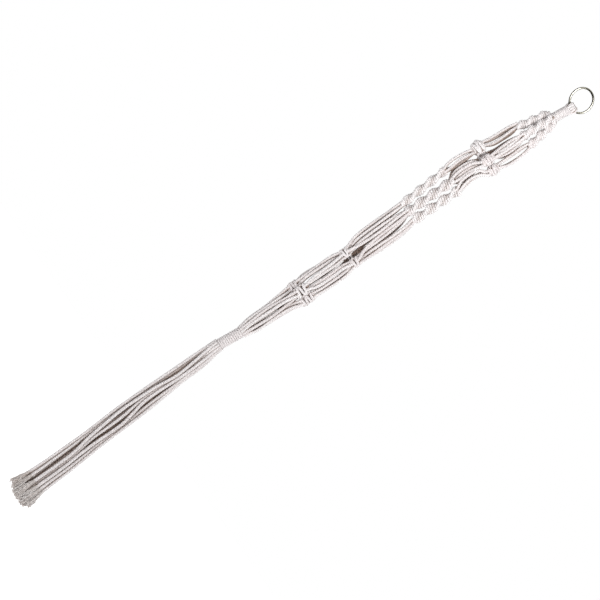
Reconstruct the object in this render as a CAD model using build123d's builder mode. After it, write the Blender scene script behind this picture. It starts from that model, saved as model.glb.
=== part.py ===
"""A hanging macrame planter: a metal ring, eight long cotton cords folded over it and knotted into a net,
two wrapping cords and a tassel. It hangs closed, with nothing in its net.

Millimetres, +Z up. The origin is where a hook bears on the inside of the ring, so everything else hangs
below it. The four arms of the net are named as they stand round the bundle: left and right along X, front
towards -Y and back towards +Y.
"""

import math
import os

from build123d import *

# Ring
ring_bore = 35.0
ring_wire = 3.3
ring_yaw = 25.0  # the ring's plane, turned about Z from the XZ plane

# Cords: a strand is one of the sixteen ends of the eight folded cords
strand_dia = 3.8
strand_pitch = 4.3  # centre to centre in the knots
eye_width = 16.0
eye_gap = 0.3

# Heights of the hanger's stations
neck_top, neck_foot = -43.4, -71.9
upper_sennit_foot = -119.9
berry_top, berry_foot = -173.9, -196.4
spiral_top, spiral_foot = -245.9, -326.9
binding_top, binding_foot = -629.9, -671.9

# Sizes of the knotted lengths
neck_radius = 7.75
binding_radius = 9.0
knot_end_radius = 5.3
upper_sennit_radii = (4.3, 5.4, 5.0, 6.7, 5.3, 7.4, 5.3)
spiral_bulges = 4

# Where each arm's knots stand, as (x, y)
arms = {"right": 0, "back": 90, "left": 180, "front": 270}
upper_head_at = {"right": (2.5, 0.5), "back": (-5.0, 6.5), "left": (-12.7, 1.0), "front": (-4.5, -5.5)}
upper_foot_at = {"right": (10.5, 0.5), "back": (-6.0, 9.5), "left": (-25.0, 1.0), "front": (-6.0, -8.5)}
berry_at = {"right": (9.8, 0.0), "back": (-13.0, 10.0), "left": (-30.5, 0.0), "front": (-6.8, -8.0)}
berry_radius = {"right": 8.2, "back": 8.2, "left": 11.2, "front": 8.2}
spiral_head_at = {"right": (5.4, 0.0), "back": (-12.0, 10.0), "left": (-30.7, 0.0), "front": (-11.2, -5.0)}
spiral_foot_at = {"right": (4.0, 0.0), "back": (-12.0, 9.5), "left": (-26.0, 0.0), "front": (-11.5, -5.0)}
spiral_radius = {"right": 7.2, "back": 6.8, "left": 6.2, "front": 6.9}

# The two rows of square knots: angle round the bundle, place, top, foot and radius
first_row = {
    "back_right": (45, (1.5, 10.0), -430.4, -442.4, 7.3),
    "back_left": (135, (-13.5, 10.0), -430.4, -442.4, 7.3),
    "front_left": (225, (-15.9, -5.5), -433.4, -445.4, 7.3),
    "front_right": (315, (7.6, -5.5), -428.9, -440.9, 7.3),
}
second_row = {
    "right": (0, (9.9, 0.0), -514.4, -535.4, 7.4),
    "back": (90, (-4.0, 9.2), -517.4, -533.9, 7.4),
    "left": (180, (-17.8, 3.0), -523.4, -538.4, 7.4),
    "front": (270, (-5.2, -8.0), -515.9, -533.9, 8.4),
}
binding_head_at = (-6.0, 0.0)
binding_foot_at = (-9.6, 0.0)
outer_slots = 7.75  # radius of the twelve outer strands at the binding
inner_slots = 2.9  # radius of the four inner ones

# Tassel: stations down it, the bundle's middle and its spread at each
tassel_z = (binding_foot, -683.9, -704.9, -743.9, -797.9, -854.9, -911.9, -965.9, -1010.9, -1049.9)
tassel_middle = (-9.6, -9.6, -7.8, -7.3, -5.6, -4.2, -0.4, 1.6, 2.8, 3.0)
tassel_spread = (None, None, 0.98, 1.04, 1.36, 1.38, 1.38, 1.52, 1.58, 1.66)
tassel_depth = (None, None, 0.96, 1.0, 1.08, 1.12, 1.1, 1.14, 1.16, 1.2)

# How a strand strays from its place in the tassel, station by station, in four lays
lays = {
    "a": ((0.3, 0.2), (-0.2, 0.3), (0.9, -0.6), (-1.0, 0.5), (0.8, 0.9), (-0.7, -0.8), (1.0, 0.4), (-0.4, 0.8)),
    "b": ((-0.2, 0.3), (0.3, -0.2), (-1.1, 0.5), (0.7, 0.9), (1.0, -0.6), (-0.9, 0.7), (-0.8, -0.9), (0.9, 0.3)),
    "c": ((0.2, -0.3), (0.2, 0.3), (1.0, 0.8), (0.4, -0.9), (-1.1, -0.5), (0.6, 0.9), (-0.9, 0.6), (-1.2, -0.6)),
    "d": ((-0.3, -0.2), (-0.3, 0.2), (0.5, 0.9), (1.1, -0.4), (-0.4, -0.9), (-1.1, 0.3), (0.7, 0.8), (1.1, -0.7)),
}

# Each tassel strand: slot angle and radius at the binding, its place across and through the bundle, its lay
tassel = [
    (330, outer_slots, (9.2, -6.8), "a"),
    (0, outer_slots, (11.3, 0.0), "b"),
    (30, outer_slots, (9.2, 6.8), "c"),
    (0, inner_slots, (6.7, 0.0), "c"),
    (60, outer_slots, (4.6, 6.9), "d"),
    (90, outer_slots, (0.0, 7.2), "b"),
    (120, outer_slots, (-4.6, 6.9), "a"),
    (90, inner_slots, (2.3, 0.9), "a"),
    (150, outer_slots, (-9.2, 6.8), "b"),
    (180, outer_slots, (-11.3, 0.0), "d"),
    (210, outer_slots, (-9.2, -6.8), "b"),
    (180, inner_slots, (-6.8, 0.0), "b"),
    (240, outer_slots, (-4.6, -6.9), "c"),
    (270, outer_slots, (0.0, -7.2), "d"),
    (300, outer_slots, (4.6, -6.9), "b"),
    (270, inner_slots, (-2.3, -0.9), "d"),
]

ring_radius = (ring_bore + ring_wire) / 2
ring_middle = Vector(0, 0, -ring_bore / 2)
tangent = Vector(1, 0, 0).rotate(Axis.Z, ring_yaw)
ring_normal = Vector(0, 1, 0).rotate(Axis.Z, ring_yaw)


def finish(name, piece):
    """Labels a finished piece and writes it to its own file."""
    piece.label = name
    export_step(piece, f"parts/{name}.step")


def turned(place, angle, radial, tangential):
    """A point beside a place: so far outwards along an angle and so far round from it."""
    a = math.radians(angle)
    x = place[0] + radial * math.cos(a) - tangential * math.sin(a)
    y = place[1] + radial * math.sin(a) + tangential * math.cos(a)
    return x, y


def bend_radii(route):
    """The largest bend at each corner of a route: 0.45 of the shorter run over the tangent of half the turn."""
    points = [Vector(*p) for p in route]
    radii = []
    for before, corner, after in zip(points, points[1:], points[2:]):
        arriving, leaving = corner - before, after - corner
        half_turn = math.radians(arriving.get_angle(leaving)) / 2
        radii.append(0.45 * min(arriving.length, leaving.length) / math.tan(half_turn))
    return radii


def barrel(centre, top, foot, end_radius, middle_radius):
    """A round knot: a barrel about a level-ended upright axis."""
    height = top - foot
    with BuildPart() as knot:
        with BuildSketch(Plane((centre[0], centre[1], foot), x_dir=(1, 0, 0), z_dir=(0, -1, 0))):
            with BuildLine():
                Spline((end_radius, 0), (middle_radius, height / 2), (end_radius, height))
                Polyline((end_radius, height), (0, height), (0, 0), (end_radius, 0))
            make_face()
        revolve(axis=Axis((centre[0], centre[1], foot), (0, 0, 1)))
    return knot.part


def sennit(head, foot, top, bottom, radii):
    """A chain of half knots: round level sections from head to foot, joined bulge by bulge."""
    steps = len(radii) - 1
    with BuildPart() as chain:
        for i, radius in enumerate(radii):
            t = i / steps
            x = head[0] + t * (foot[0] - head[0])
            y = head[1] + t * (foot[1] - head[1])
            with BuildSketch(Plane((x, y, top + t * (bottom - top)))):
                Circle(radius)
        loft(ruled=True)
    return chain.part


def strand(route, top=None, bottom=None):
    """A round strand along a route. Given a top and a bottom, it is cut level where its knots begin."""
    with BuildPart() as piece:
        with BuildLine() as path:
            FilletPolyline(*route, radius=bend_radii(route))
        with BuildSketch(Plane(path.line @ 0, z_dir=path.line % 0)):
            Circle(strand_dia / 2)
        sweep()
        if top is not None:
            with Locations((0, 0, (top + bottom) / 2)):
                Box(200, 200, top - bottom, mode=Mode.INTERSECT)
    return piece.part


def held_route(start, end, top, bottom, out, bulge):
    """The route of a strand between two knots: it leaves each one slanting and bows out by bulge between them.

    It runs on past both knot faces, so that the level cuts there are whole.
    """
    over = 3.0
    drop = top - bottom
    points = [(start[0], start[1], top)]
    for t, share in ((0.3, 0.85), (0.68, 1.0)):
        x = start[0] + t * (end[0] - start[0]) + share * bulge * out[0]
        y = start[1] + t * (end[1] - start[1]) + share * bulge * out[1]
        points.append((x, y, top - t * drop))
    points.append((end[0], end[1], bottom))
    first = Vector(*points[0]) - Vector(*points[1])
    last = Vector(*points[3]) - Vector(*points[2])
    points[0] = tuple(Vector(*points[0]) + first.normalized() * over)
    points[3] = tuple(Vector(*points[3]) + last.normalized() * over)
    return points


def quad(place, angle):
    """The four strand places in a knot, keyed (outer or inner, this side or that side round the bundle)."""
    half = strand_pitch / 2
    return {(a, b): turned(place, angle, a * half, b * half) for a in (1, -1) for b in (1, -1)}


def bow(angle, sideways=0.0):
    """The direction in which a strand bows out: outwards along an angle, and so far round from it."""
    return turned((0, 0), angle, 1.0, sideways)


os.makedirs("parts", exist_ok=True)

# Ring
with BuildPart() as ring:
    with BuildSketch(Plane(ring_middle, x_dir=tangent, z_dir=(0, 0, 1))):
        with Locations((ring_radius, 0)):
            Circle(ring_wire / 2)
    revolve(axis=Axis(ring_middle, ring_normal))
finish("ring", ring.part)

# Eye: the cords' folds, side by side over the lowest part of the ring's wire and free to slide round it
eye_span = math.degrees(eye_width / ring_radius)
eye_start = Vector(0, 0, -1).rotate(Axis((0, 0, 0), ring_normal), -eye_span / 2)
with BuildPart() as cord_eye:
    with BuildSketch(Plane(ring_middle, x_dir=eye_start, z_dir=ring_normal.cross(eye_start))):
        with Locations((ring_radius, 0)):
            Circle(ring_wire / 2 + eye_gap + strand_dia)
            Circle(ring_wire / 2 + eye_gap, mode=Mode.SUBTRACT)
    revolve(axis=Axis(ring_middle, ring_normal), revolution_arc=eye_span)
finish("cord_eye", cord_eye.part)

# Neck wrapping, just under the eye
finish("neck_wrap", sennit((0, 0), (-3.0, 0), neck_top, neck_foot, (neck_radius, neck_radius)))

# Upper sennits, one to an arm
for arm in arms:
    chain = sennit(upper_head_at[arm], upper_foot_at[arm], neck_foot, upper_sennit_foot, upper_sennit_radii)
    finish(f"upper_sennit_{arm}", chain)

# Berry knots
for arm in arms:
    knot = barrel(berry_at[arm], berry_top, berry_foot, knot_end_radius, berry_radius[arm])
    finish(f"berry_knot_{arm}", knot)

# Spiral sennits
for arm in arms:
    waist, bulge = spiral_radius[arm] - 1.5, spiral_radius[arm]
    radii = [knot_end_radius] + [bulge, waist] * (spiral_bulges - 1) + [bulge, knot_end_radius]
    chain = sennit(spiral_head_at[arm], spiral_foot_at[arm], spiral_top, spiral_foot, radii)
    finish(f"spiral_sennit_{arm}", chain)

# Square knots of the net
for row, knots in (("first", first_row), ("second", second_row)):
    for side, (angle, place, top, foot, radius) in knots.items():
        finish(f"{row}_row_knot_{side}", barrel(place, top, foot, knot_end_radius, radius))

# Upper strands, from the upper sennits to the berry knots
upper_bulge = {"right": 2.5, "back": 1.5, "left": 1.5, "front": 1.5}
for arm, angle in arms.items():
    heads, feet = quad(upper_foot_at[arm], angle), quad(berry_at[arm], angle)
    with BuildPart() as group:
        for a, b in heads:
            out = bow(angle, b * 1.4) if a > 0 else bow(angle + 180, -b * 1.4)
            route = held_route(heads[a, b], feet[a, b], upper_sennit_foot, berry_top, out, upper_bulge[arm])
            add(strand(route, upper_sennit_foot, berry_top))
    finish(f"upper_strands_{arm}", group.part)

# Middle strands, from the berry knots to the spiral sennits: the left arm bows out, the right one in
middle_bulge = {"right": (-6.8, 0.5), "back": (-1.0, 2.5), "left": (-6.5, 0.0), "front": (-2.0, -3.0)}
for arm, angle in arms.items():
    heads, feet = quad(berry_at[arm], angle), quad(spiral_head_at[arm], angle)
    with BuildPart() as group:
        for a, b in heads:
            out = turned(middle_bulge[arm], angle, a * 0.7, b * 0.7)
            route = held_route(heads[a, b], feet[a, b], berry_foot, spiral_top, out, 1.0)
            add(strand(route, berry_foot, spiral_top))
    finish(f"middle_strands_{arm}", group.part)

# Long strands: two of each arm go to the knot on its one side, two to the knot on its other
for arm, angle in arms.items():
    heads = quad(spiral_foot_at[arm], angle)
    with BuildPart() as group:
        for side, (knot_angle, place, top, foot, radius) in first_row.items():
            turn = (knot_angle - angle + 180) % 360 - 180
            if abs(turn) != 45:
                continue
            b = 1 if turn > 0 else -1
            feet = quad(place, knot_angle)
            for a in (1, -1):
                out = bow(angle)
                route = held_route(heads[a, b], feet[a, -b], spiral_foot, top, out, 3.6 if a > 0 else 0.8)
                add(strand(route, spiral_foot, top))
    finish(f"long_strands_{arm}", group.part)

# Net strands, from the first row of square knots to the second, changing partners again
for side, (angle, place, top, foot, radius) in first_row.items():
    heads = quad(place, angle)
    with BuildPart() as group:
        for arm, (knot_angle, knot_place, knot_top, knot_foot, knot_radius) in second_row.items():
            turn = (knot_angle - angle + 180) % 360 - 180
            if abs(turn) != 45:
                continue
            b = 1 if turn > 0 else -1
            feet = quad(knot_place, knot_angle)
            for a in (1, -1):
                out = bow(angle)
                route = held_route(heads[a, b], feet[a, -b], foot, knot_top, out, 3.0 if a > 0 else 0.6)
                add(strand(route, foot, knot_top))
    finish(f"net_strands_{side}", group.part)

# Gathered strands, from the second row to the binding: an inner slot and three outer ones to each knot
for arm, (angle, place, top, foot, radius) in second_row.items():
    heads = quad(place, angle)
    slots = {
        (1, -1): turned(binding_head_at, angle - 30, outer_slots, 0),
        (1, 1): turned(binding_head_at, angle, outer_slots, 0),
        (-1, 1): turned(binding_head_at, angle + 30, outer_slots, 0),
        (-1, -1): turned(binding_head_at, angle, inner_slots, 0),
    }
    with BuildPart() as group:
        for (a, b), slot in slots.items():
            route = held_route(heads[a, b], slot, foot, binding_top, bow(angle), 2.2 if a > 0 else 0.7)
            add(strand(route, foot, binding_top))
    finish(f"gather_strands_{arm}", group.part)

# Binding above the tassel
bound = sennit(binding_head_at, binding_foot_at, binding_top, binding_foot, (binding_radius, binding_radius))
finish("bottom_wrap", bound)

# Tassel strands, each free below the binding
for number, (slot_angle, slot_radius, place, lay) in enumerate(tassel, 1):
    start = turned(binding_foot_at, slot_angle, slot_radius, 0)
    route = [(*start, tassel_z[0]), (*start, tassel_z[1])]
    for i, (stray_x, stray_y) in enumerate(lays[lay], 2):
        x = tassel_middle[i] + tassel_spread[i] * place[0] + stray_x
        y = tassel_depth[i] * place[1] + stray_y
        route.append((x, y, tassel_z[i]))
    piece = strand(route)
    runs = [(Vector(*q) - Vector(*p)).length for p, q in zip(route, route[1:])]
    print(
        f"tassel_strand_{number:02d} length {piece.volume / (math.pi * strand_dia**2 / 4):.0f}",
        f"route {sum(runs):.0f} radii {[round(r) for r in bend_radii(route)]}",
    )
    finish(f"tassel_strand_{number:02d}", piece)
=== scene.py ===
"""The looks of a hanging macrame planter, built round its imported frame.

Every cord is worked out as a surface: three plies laid round a line, with the line following the knot that the
cord makes. Metres, +Z up, with the origin where a hook bears on the ring, as in the frame.
"""

from __future__ import annotations

import logging
import math
from collections.abc import Callable
from dataclasses import dataclass
from enum import Enum

import bpy
import numpy as np
from mathutils import Matrix, Vector

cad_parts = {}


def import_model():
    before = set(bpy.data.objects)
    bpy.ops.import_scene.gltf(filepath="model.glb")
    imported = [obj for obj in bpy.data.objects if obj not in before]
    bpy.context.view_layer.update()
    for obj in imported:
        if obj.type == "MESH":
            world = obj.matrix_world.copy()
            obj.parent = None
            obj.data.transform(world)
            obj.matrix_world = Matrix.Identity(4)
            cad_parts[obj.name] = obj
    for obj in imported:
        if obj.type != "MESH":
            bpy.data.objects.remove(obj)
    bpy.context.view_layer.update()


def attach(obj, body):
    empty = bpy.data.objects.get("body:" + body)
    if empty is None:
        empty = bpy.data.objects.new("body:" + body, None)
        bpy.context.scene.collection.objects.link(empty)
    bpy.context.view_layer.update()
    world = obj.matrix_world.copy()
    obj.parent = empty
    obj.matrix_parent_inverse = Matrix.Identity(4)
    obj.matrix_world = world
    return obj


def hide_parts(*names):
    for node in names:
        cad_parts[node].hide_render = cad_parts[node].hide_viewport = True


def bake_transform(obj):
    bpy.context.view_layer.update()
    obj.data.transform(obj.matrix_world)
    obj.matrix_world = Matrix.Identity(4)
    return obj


LOG = logging.getLogger("macrame_hanger")
MM = 0.001
Array = np.ndarray
Place = tuple[float, float]
WHITE = (1.0, 1.0, 1.0, 1.0)


class Arm(Enum):
    """The four arms of the net, by the angle at which they stand round the bundle, in degrees."""

    RIGHT = 0
    BACK = 90
    LEFT = 180
    FRONT = 270

    @property
    def title(self) -> str:
        """Its name in the names of nodes."""
        return self.name.lower()


def per_arm(right: object, back: object, left: object, front: object) -> dict[Arm, object]:
    """A value for each arm."""
    return dict(zip(Arm, (right, back, left, front)))


class Slot(Enum):
    """The record's material slots."""

    COTTON = "cotton_cord"
    RING = "polished_ring"


# ---------------------------------------------------------------------------------------------------------------
# Shader maths
# ---------------------------------------------------------------------------------------------------------------


class Value:
    """A socket or a number that shader maths can be written with: each operator adds one Math node."""

    def __init__(self, nodes: "Nodes", socket: bpy.types.NodeSocket) -> None:
        """Wraps one socket of a node tree."""
        self.nodes = nodes
        self.socket = socket

    def _math(self, operation: str, *others: "Value | float", clamp: bool = False) -> "Value":
        """Adds a Math node.

        Args:
            operation: the node's operation.
            others: the second and third inputs.
            clamp: whether the result is held between 0 and 1.

        Returns:
            The node's output.
        """
        settings = {"operation": operation, "use_clamp": clamp}
        inputs = {i: value for i, value in enumerate((self, *others))}
        return self.nodes.node("ShaderNodeMath", settings, inputs)

    def __add__(self, other: "Value | float") -> "Value":
        """self + other."""
        return self._math("ADD", other)

    __radd__ = __add__

    def __mul__(self, other: "Value | float") -> "Value":
        """self * other."""
        return self._math("MULTIPLY", other)

    __rmul__ = __mul__

    def __sub__(self, other: "Value | float") -> "Value":
        """self - other."""
        return self._math("SUBTRACT", other)

    def __rsub__(self, other: float) -> "Value":
        """other - self, for a number on the left."""
        return (self * -1.0) + other

    def __pow__(self, other: float) -> "Value":
        """self raised to a power."""
        return self._math("POWER", other)

    def sine(self) -> "Value":
        """The sine of self, in radians."""
        return self._math("SINE")

    def clamped(self) -> "Value":
        """self held between 0 and 1."""
        return self._math("ADD", 0.0, clamp=True)


class Nodes:
    """A node tree, and the one way of adding to it."""

    def __init__(self, tree: bpy.types.NodeTree) -> None:
        """Takes the tree to add to."""
        self.tree = tree

    def node(self, kind: str, settings: dict, inputs: dict, output: int | str = 0) -> Value:
        """Adds any node.

        Args:
            kind: the node's type name.
            settings: its properties, set first.
            inputs: values or links of its sockets, by name or number.
            output: which output to return.

        Returns:
            That output.
        """
        made = self.tree.nodes.new(kind)
        for key, value in settings.items():
            setattr(made, key, value)
        for key, value in inputs.items():
            self.fill(made.inputs[key], value)
        return Value(self, made.outputs[output])

    def fill(self, socket: bpy.types.NodeSocket, value: "Value | float | tuple") -> None:
        """Links a value to a socket, or sets it there.

        Args:
            socket: the socket to fill.
            value: what fills it.
        """
        if isinstance(value, Value):
            self.tree.links.new(value.socket, socket)
        else:
            socket.default_value = value


class Finish(Nodes):
    """A material made of nodes. Subclasses say what feeds its surface."""

    name = "finish"

    def __init__(self) -> None:
        """Makes the empty material with its Principled surface."""
        self.material = bpy.data.materials.new(self.name)
        self.material.use_nodes = True
        super().__init__(self.material.node_tree)
        self.surface = self.tree.nodes["Principled BSDF"]
        self.build()

    def build(self) -> None:
        """Fills in the surface's sockets."""
        raise NotImplementedError

    def feed(self, **values: "Value | float | tuple") -> None:
        """Fills the surface's sockets, named with underscores for spaces."""
        for name, value in values.items():
            self.fill(self.surface.inputs[name.replace("_", " ")], value)

    def attribute(self, name: str) -> Value:
        """A number that the mesh carries at each point."""
        return self.node("ShaderNodeAttribute", {"attribute_name": name}, {}, "Fac")

    def mix(self, factor: Value, dark: "Value | tuple", light: "Value | tuple") -> Value:
        """A colour between two, by a factor."""
        return self.node("ShaderNodeMix", {"data_type": "RGBA"}, {0: factor, 6: dark, 7: light}, 2)

    def noise(self, scale: float, detail: float = 2.0) -> Value:
        """A noise pattern from 0 to 1 on Object coordinates."""
        vector = self.node("ShaderNodeTexCoord", {}, {}, "Object")
        return self.node("ShaderNodeTexNoise", {}, {"Vector": vector, "Scale": scale, "Detail": detail})

    def bump(self, strength: float, distance: float, height: Value) -> Value:
        """A normal from a height."""
        return self.node("ShaderNodeBump", {}, {"Strength": strength, "Distance": distance, "Height": height})


@dataclass(frozen=True)
class CottonColours:
    """Linear colours of one natural cotton cord."""

    crest: tuple = (0.90, 0.875, 0.87, 1.0)
    warm: tuple = (0.80, 0.745, 0.74, 1.0)
    # The third and fourth colours are painted shade: in the grooves between plies, and deep in the bundle or beside
    # touching neighbours.
    groove_shade: tuple = (0.56, 0.47, 0.45, 1.0)
    deep: tuple = (0.31, 0.215, 0.165, 1.0)


class Cotton(Finish):
    """Natural cotton: creamy plies with fine yarns along each ply, and painted shade, darker and warmer, in the
    grooves.
    """

    name = "natural_cotton"
    colours = CottonColours()
    yarn_turns = 12.0  # yarns seen round a whole cord
    yarn_slope = 3.2
    bump_height = 0.00018

    def build(self) -> None:
        """Feeds colour, roughness and bump; sheen is constant."""
        c = self.colours
        uv = self.node("ShaderNodeUVMap", {"uv_map": "along_round"}, {})
        along, round_it = (self.node("ShaderNodeSeparateXYZ", {}, {0: uv}, axis) for axis in (0, 1))
        height = self.attribute("crest")
        tone = self.attribute("tone")
        wander = self.noise(420.0, 3.0)
        inside = self.attribute("inside")
        yarns = (round_it * (2 * math.pi * self.yarn_turns) + along * self.yarn_slope + wander * 2.0).sine()
        blotch = self.noise(38.0, 3.0)
        base = self.mix((blotch * 0.9 + tone * 0.7 - 0.35).clamped(), c.crest, c.warm)
        # Painted shade in the grooves between plies, from the crest height.
        shaded = self.mix(((1.0 - height) ** 1.5 * 0.5).clamped(), base, c.groove_shade)
        # Painted shade in the fine lines between yarns.
        fine = self.mix((yarns * -0.08 + 0.08).clamped(), shaded, c.groove_shade)
        # Painted occlusion shade, deep in the bundle or knot and beside touching neighbours.
        occlusion_shade = self.mix((inside ** 1.4).clamped(), fine, c.deep)
        fibres = self.noise(2600.0)
        self.feed(
            Base_Color=occlusion_shade,
            Roughness=wander * 0.12 + 0.82,
            Sheen_Weight=0.25,
            Sheen_Roughness=0.6,
            Specular_IOR_Level=0.25,
            Normal=self.bump(0.8, self.bump_height, yarns * 0.45 + fibres * 0.5),
        )


class BrushedOutCotton(Cotton):
    """The unlaid yarns at the strands' ends, duller and softer than the laid cord."""

    name = "unlaid_cotton"
    # Its third colour is the painted shade in the grooves.
    colours = CottonColours((0.80, 0.77, 0.75, 1.0), (0.50, 0.45, 0.42, 1.0), (0.45, 0.39, 0.36, 1.0))
    yarn_turns = 2.0
    bump_height = 0.00008


class Nickel(Finish):
    """Polished nickel plate on steel wire, with fine wiping marks and a slightly yellow cast."""

    name = "polished_nickel"

    def build(self) -> None:
        """Feeds colour, roughness and bump; the metal is constant."""
        cloud = self.noise(120.0, 4.0)
        wiping = self.noise(900.0)
        self.feed(
            Base_Color=self.mix(cloud, (0.42, 0.40, 0.33, 1.0), (0.66, 0.64, 0.56, 1.0)),
            Metallic=1.0,
            Roughness=wiping * 0.08 + cloud * 0.06 + 0.08,
            Normal=self.bump(0.15, 0.00005, wiping),
        )


class PaleFloor(Finish):
    """The studio's plain floor."""

    name = "pale_floor"

    def build(self) -> None:
        """A faintly mottled white that is bright by itself, so that it meets the pale surroundings unseen."""
        self.feed(
            Base_Color=self.mix(self.noise(3.0), (0.93, 0.93, 0.93, 1.0), (0.96, 0.96, 0.96, 1.0)),
            Roughness=0.9,
            Emission_Color=WHITE,
            Emission_Strength=0.8,
        )


# ---------------------------------------------------------------------------------------------------------------
# Cord surfaces
# ---------------------------------------------------------------------------------------------------------------


def nurbs_line(points: Array, per_span: int = 10) -> Array:
    """Points read from the smooth NURBS spline that a route controls.

    Args:
        points: the route, as rows of x, y, z.
        per_span: how finely the spline is divided.

    Returns:
        The spline's points, from the first to the last.
    """
    curve = bpy.data.curves.new("route", "CURVE")
    curve.dimensions = "3D"
    spline = curve.splines.new("NURBS")
    spline.points.add(len(points) - 1)
    packed = np.concatenate([points, np.ones((len(points), 1))], axis=1)
    spline.points.foreach_set("co", packed.astype(np.float32).ravel())
    spline.order_u = 3
    spline.use_endpoint_u = True
    spline.resolution_u = per_span
    carrier = bpy.data.objects.new("route", curve)
    mesh = bpy.data.meshes.new_from_object(carrier)
    line = np.empty(len(mesh.vertices) * 3, np.float32)
    mesh.vertices.foreach_get("co", line)
    bpy.data.meshes.remove(mesh)
    bpy.data.objects.remove(carrier)
    bpy.data.curves.remove(curve)
    return line.reshape(-1, 3).astype(float)


def smooth_step(t: Array) -> Array:
    """3 t^2 - 2 t^3, with t held between 0 and 1."""
    t = np.clip(t, 0, 1)
    return t * t * (3 - 2 * t)


def lengths_along(line: Array) -> Array:
    """The length of a line up to each of its points: the running sum of its steps."""
    return np.concatenate([[0.0], np.cumsum(np.linalg.norm(np.diff(line, axis=0), axis=1))])


def evenly(line: Array, step: float) -> Array:
    """The same line with its points a fixed distance apart along it.

    Args:
        line: rows of x, y, z.
        step: about how far apart they come.

    Returns:
        The new rows.
    """
    along = lengths_along(line)
    even = np.linspace(0.0, along[-1], max(3, int(round(along[-1] / step)) + 1))
    return np.stack([np.interp(even, along, line[:, k]) for k in range(3)], axis=1)


def turned(x: Array, y: Array, angle: Array | float) -> tuple[Array, Array]:
    """A place turned about the upright: x cos a - y sin a, and x sin a + y cos a."""
    return x * np.cos(angle) - y * np.sin(angle), x * np.sin(angle) + y * np.cos(angle)


def grid_quads(rows: int, columns: int, loop_rows: bool, loop_columns: bool) -> Array:
    """The four-sided faces between the points of a grid, numbered along its rows.

    Args:
        rows: how many rows of points it has.
        columns: how many points are in a row.
        loop_rows: whether the last row joins the first.
        loop_columns: whether each row closes on itself.

    Returns:
        Four point numbers for each face: along the row, then down to the next row and back.
    """
    i, j = np.meshgrid(np.arange(rows - (not loop_rows)), np.arange(columns - (not loop_columns)), indexing="ij")
    down, beside = (i + 1) % rows, (j + 1) % columns
    corners = (i * columns + j, i * columns + beside, down * columns + beside, down * columns + j)
    return np.stack(corners, axis=-1).reshape(-1, 4)


def carried_frames(line: Array) -> tuple[Array, Array]:
    """Two directions square to a line, carried along it without turning about it.

    Each step takes the last direction and removes its share along the new tangent.

    Args:
        line: rows of x, y, z.

    Returns:
        The first and the second direction at each point.
    """
    tangent = np.gradient(line, axis=0)
    tangent /= np.linalg.norm(tangent, axis=1, keepdims=True)
    first = np.empty_like(tangent)
    seed = np.array([0.0, 1.0, 0.0]) if abs(tangent[0][1]) < 0.8 else np.array([1.0, 0.0, 0.0])
    for i, direction in enumerate(tangent):
        seed = seed - (seed @ direction) * direction
        seed = seed / math.sqrt(seed @ seed)
        first[i] = seed
    return first, np.cross(tangent, first)


@dataclass(frozen=True)
class Cord:
    """A twisted cord: its thickness, how long one turn of its lay is, and how finely it is drawn, in metres."""

    diameter: float = 5.1 * MM
    lay: float = 9.0 * MM
    plies: int = 3
    around: int = 18
    step: float = 0.85 * MM
    ply_reach: float = 0.52  # a ply's distance from the middle over its own radius

    def outline(self) -> Array:
        """The cross-section's radius at each place round it, as a share of half the diameter.

        A ply is a circle of radius r whose middle is c away, so at angle a from it the outline is
        c cos a + sqrt(r^2 - (c sin a)^2).

        Returns:
            The share, at so many places round the cord.
        """
        angle = np.linspace(0.0, 2 * np.pi, self.around, endpoint=False)
        sector = 2 * np.pi / self.plies
        a = np.abs((angle + sector / 2) % sector - sector / 2)
        c = self.ply_reach
        reach = c * np.cos(a) + np.sqrt(np.maximum(1.0 - (c * np.sin(a)) ** 2, 0.0))
        return reach / (c + 1.0)


@dataclass
class Grid:
    """One closed tube's points, faces and what its points carry."""

    points: Array
    faces: list
    along_round: Array
    # crest carries the height that the painted shade in the grooves comes from, tone the cord's own random tone, and
    # inside the share of painted occlusion and neighbour shade.
    crest: Array
    tone: Array
    inside: Array


Surround = Callable[[Array], Array]
OTHER_WAY = [0, 3, 2, 1]  # turns a face over, and keeps its first corner
DEEPEST_GROOVE = 0.31  # share of half the diameter that the grooves may lie under the crest, which scales their painted shade
END_CREST = 0.3  # how far out of the grooves the middle of a cord's cut end counts, for their painted shade
FACING_IN, FACING_OUT = 0.10, 1.0  # exposure of a surface that faces straight in, and straight out, for the painted occlusion shade
TOUCHING, NEIGHBOUR_SHADE = 1.9, 0.8  # diameters apart at which neighbours stop casting painted shade, and how dark that shade is


# The outline only serves to place the painted occlusion shade.
@dataclass
class Outline:
    """The bundle's outline at stations down it, in millimetres: height, middle, half width and half depth."""

    stations: tuple = (
        (-72, -4.0, 13.0, 9.0),
        (-120, -8.0, 24.0, 11.0),
        (-150, -7.0, 25.0, 11.0),
        (-185, -10.0, 25.0, 12.0),
        (-220, -16.0, 22.0, 10.5),
        (-246, -12.5, 22.0, 11.0),
        (-327, -11.0, 19.0, 11.0),
        (-380, -7.0, 21.5, 10.5),
        (-436, -5.0, 18.5, 10.5),
        (-478, -4.0, 19.5, 10.5),
        (-526, -4.0, 19.0, 10.5),
        (-580, -5.5, 13.0, 9.5),
        (-630, -6.0, 8.8, 8.8),
        (-672, -9.6, 8.8, 8.8),
        (-700, -8.0, 11.5, 8.0),
        (-800, -5.5, 16.5, 9.0),
        (-900, -1.0, 17.5, 9.5),
        (-1000, 2.5, 18.5, 10.0),
        (-1050, 3.0, 20.0, 11.0),
    )

    def outward(self, line: Array) -> Array:
        """Which way is out of the bundle, and how far out a point stands: 0 in the middle, 1 at the outline.

        Args:
            line: rows of x, y, z, in metres.

        Returns:
            A level vector for each row.
        """
        rows = np.array(self.stations[::-1], float)
        height = line[:, 2] / MM
        middle, wide, deep = (np.interp(height, rows[:, 0], rows[:, k]) for k in (1, 2, 3))
        return np.stack([(line[:, 0] / MM - middle) / wide, line[:, 1] / MM / deep, np.zeros(len(line))], axis=1)


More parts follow.
